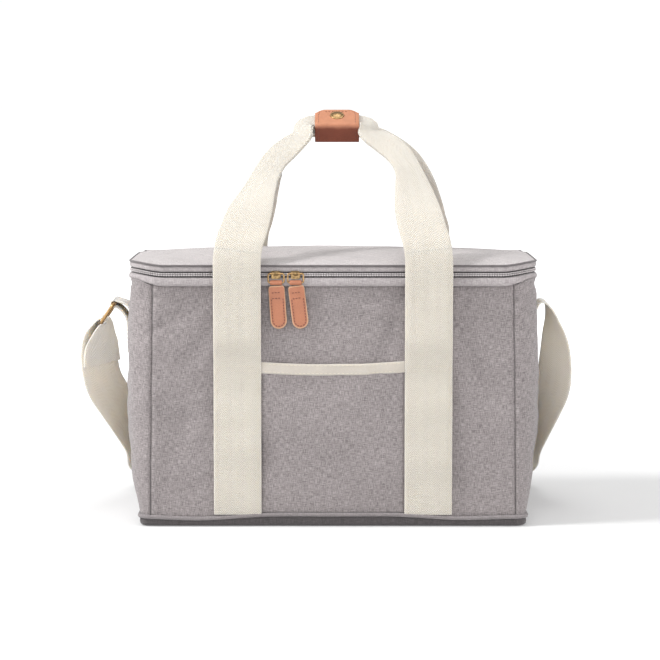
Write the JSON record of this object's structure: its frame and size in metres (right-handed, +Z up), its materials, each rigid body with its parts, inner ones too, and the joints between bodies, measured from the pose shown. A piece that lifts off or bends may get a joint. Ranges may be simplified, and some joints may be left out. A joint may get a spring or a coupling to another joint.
{
  "type": "insulated cooler bag",
  "caption": "Soft rectangular cooler bag with a zipped hinged lid, foam-lined walls, two webbing handles joined by a snapped leather grip, a front pocket and a shoulder strap.",
  "frame": {"origin": "centre of the base on the floor", "axes": "+Z up; the pocket and zip pulls face -Y; +X to the right seen from the front"},
  "size_m": [0.4186, 0.3327, 0.3491],
  "materials": {
    "cloth": "grey melange canvas weave",
    "lid_cloth": "grey melange canvas weave, slightly paler",
    "dark_cloth": "dark grey canvas",
    "piping": "cloth-covered cord",
    "board": "stiff fibre board",
    "foam": "closed-cell foam sheet",
    "liner": "smooth heat-sealed liner",
    "zip": "nylon coil and tape",
    "webbing": "cream cotton twill webbing",
    "leather": "tan smooth leather",
    "brass": "antique brass"
  },
  "bodies": {
    "bag": {"front_panel": "cloth", "back_panel": "cloth", "left_side_panel": "cloth", "right_side_panel": "cloth", "base_panel": "dark_cloth", "base_piping": "piping", "base_board": "board", "foam_front": "foam", "foam_back": "foam", "foam_left": "foam", "foam_right": "foam", "foam_base": "foam", "liner": "liner", "collar": "cloth", "zip_tape_lower": "zip", "zip_coil_lower": "zip", "lid_hinge_strip": "cloth", "pocket_panel": "cloth", "pocket_binding": "webbing", "front_strap_left": "webbing", "front_strap_right": "webbing", "back_strap_left": "webbing", "back_strap_right": "webbing", "side_tab": "webbing", "shoulder_strap": "webbing"},
    "lid": {"lid_top": "lid_cloth", "lid_band": "cloth", "lid_piping": "piping", "lid_foam": "foam", "lid_liner": "liner", "zip_tape_upper": "zip", "zip_coil_upper": "zip"},
    "front_handle_base": {"front_leg_left": "webbing", "front_leg_right": "webbing"},
    "front_handle_top": {"front_arch": "webbing"},
    "back_handle_base": {"back_leg_left": "webbing", "back_leg_right": "webbing"},
    "back_handle_top": {"back_arch": "webbing", "grip_wrap": "leather", "snap_stud": "brass"},
    "flap": {"grip_flap": "leather", "snap_cap": "brass"},
    "left_slider": {"slider_left": "brass"},
    "left_ring": {"pull_ring_left": "brass"},
    "left_pull": {"pull_left": "leather"},
    "right_slider": {"slider_right": "brass"},
    "right_ring": {"pull_ring_right": "brass"},
    "right_pull": {"pull_right": "leather"},
    "ring": {"strap_ring": "brass"}
  },
  "joints": [
    {"name": "lid_hinge", "type": "hinge", "parent": "bag", "child": "lid", "pos_m": [0, 0.112, 0.2125], "axis": [-1, 0, 0], "range_deg": [0, 100]},
    {"name": "front_handle_fold", "type": "hinge", "parent": "bag", "child": "front_handle_base", "pos_m": [0, -0.11975, 0.2], "axis": [1, 0, 0], "range_deg": [0, 161]},
    {"name": "front_handle_bend", "type": "hinge", "parent": "front_handle_base", "child": "front_handle_top", "pos_m": [0, -0.1052, 0.2508], "axis": [1, 0, 0], "range_deg": [0, 51]},
    {"name": "back_handle_fold", "type": "hinge", "parent": "bag", "child": "back_handle_base", "pos_m": [0, 0.11975, 0.2], "axis": [-1, 0, 0], "range_deg": [0, 161]},
    {"name": "back_handle_bend", "type": "hinge", "parent": "back_handle_base", "child": "back_handle_top", "pos_m": [0, 0.1052, 0.2508], "axis": [-1, 0, 0], "range_deg": [0, 51]},
    {"name": "grip_flap_hinge", "type": "hinge", "parent": "back_handle_top", "child": "flap", "pos_m": [0.0035, -0.00659, 0.32192], "axis": [1, 0, 0], "range_deg": [0, 130]},
    {"name": "left_slider_travel", "type": "slide", "parent": "bag", "child": "left_slider", "axis": [1, 0, 0], "range_m": [-0.084, 0]},
    {"name": "left_ring_hinge", "type": "hinge", "parent": "left_slider", "child": "left_ring", "pos_m": [-0.0475, -0.115, 0.2135], "axis": [-1, 0, 0], "range_deg": [0, 150]},
    {"name": "left_pull_hinge", "type": "hinge", "parent": "left_ring", "child": "left_pull", "pos_m": [-0.0475, -0.115, 0.206], "axis": [-1, 0, 0], "range_deg": [0, 100]},
    {"name": "right_slider_travel", "type": "slide", "parent": "bag", "child": "right_slider", "axis": [1, 0, 0], "range_m": [0, 0.161]},
    {"name": "right_ring_hinge", "type": "hinge", "parent": "right_slider", "child": "right_ring", "pos_m": [-0.0312, -0.115, 0.2135], "axis": [-1, 0, 0], "range_deg": [0, 150]},
    {"name": "right_pull_hinge", "type": "hinge", "parent": "right_ring", "child": "right_pull", "pos_m": [-0.0312, -0.115, 0.206], "axis": [-1, 0, 0], "range_deg": [0, 100]},
    {"name": "strap_ring_hinge", "type": "hinge", "parent": "bag", "child": "ring", "pos_m": [-0.1904, 0, 0.181], "axis": [0, 1, 0], "range_deg": [-34, 80], "deforming": ["shoulder_strap"]}
  ],
  "couplings": [
    {"joint": "front_handle_fold", "follows": "lid_hinge", "ratio": 1.6},
    {"joint": "front_handle_bend", "follows": "lid_hinge", "ratio": 0.5},
    {"joint": "back_handle_fold", "follows": "lid_hinge", "ratio": 1.6},
    {"joint": "back_handle_bend", "follows": "lid_hinge", "ratio": 0.5}
  ]
}
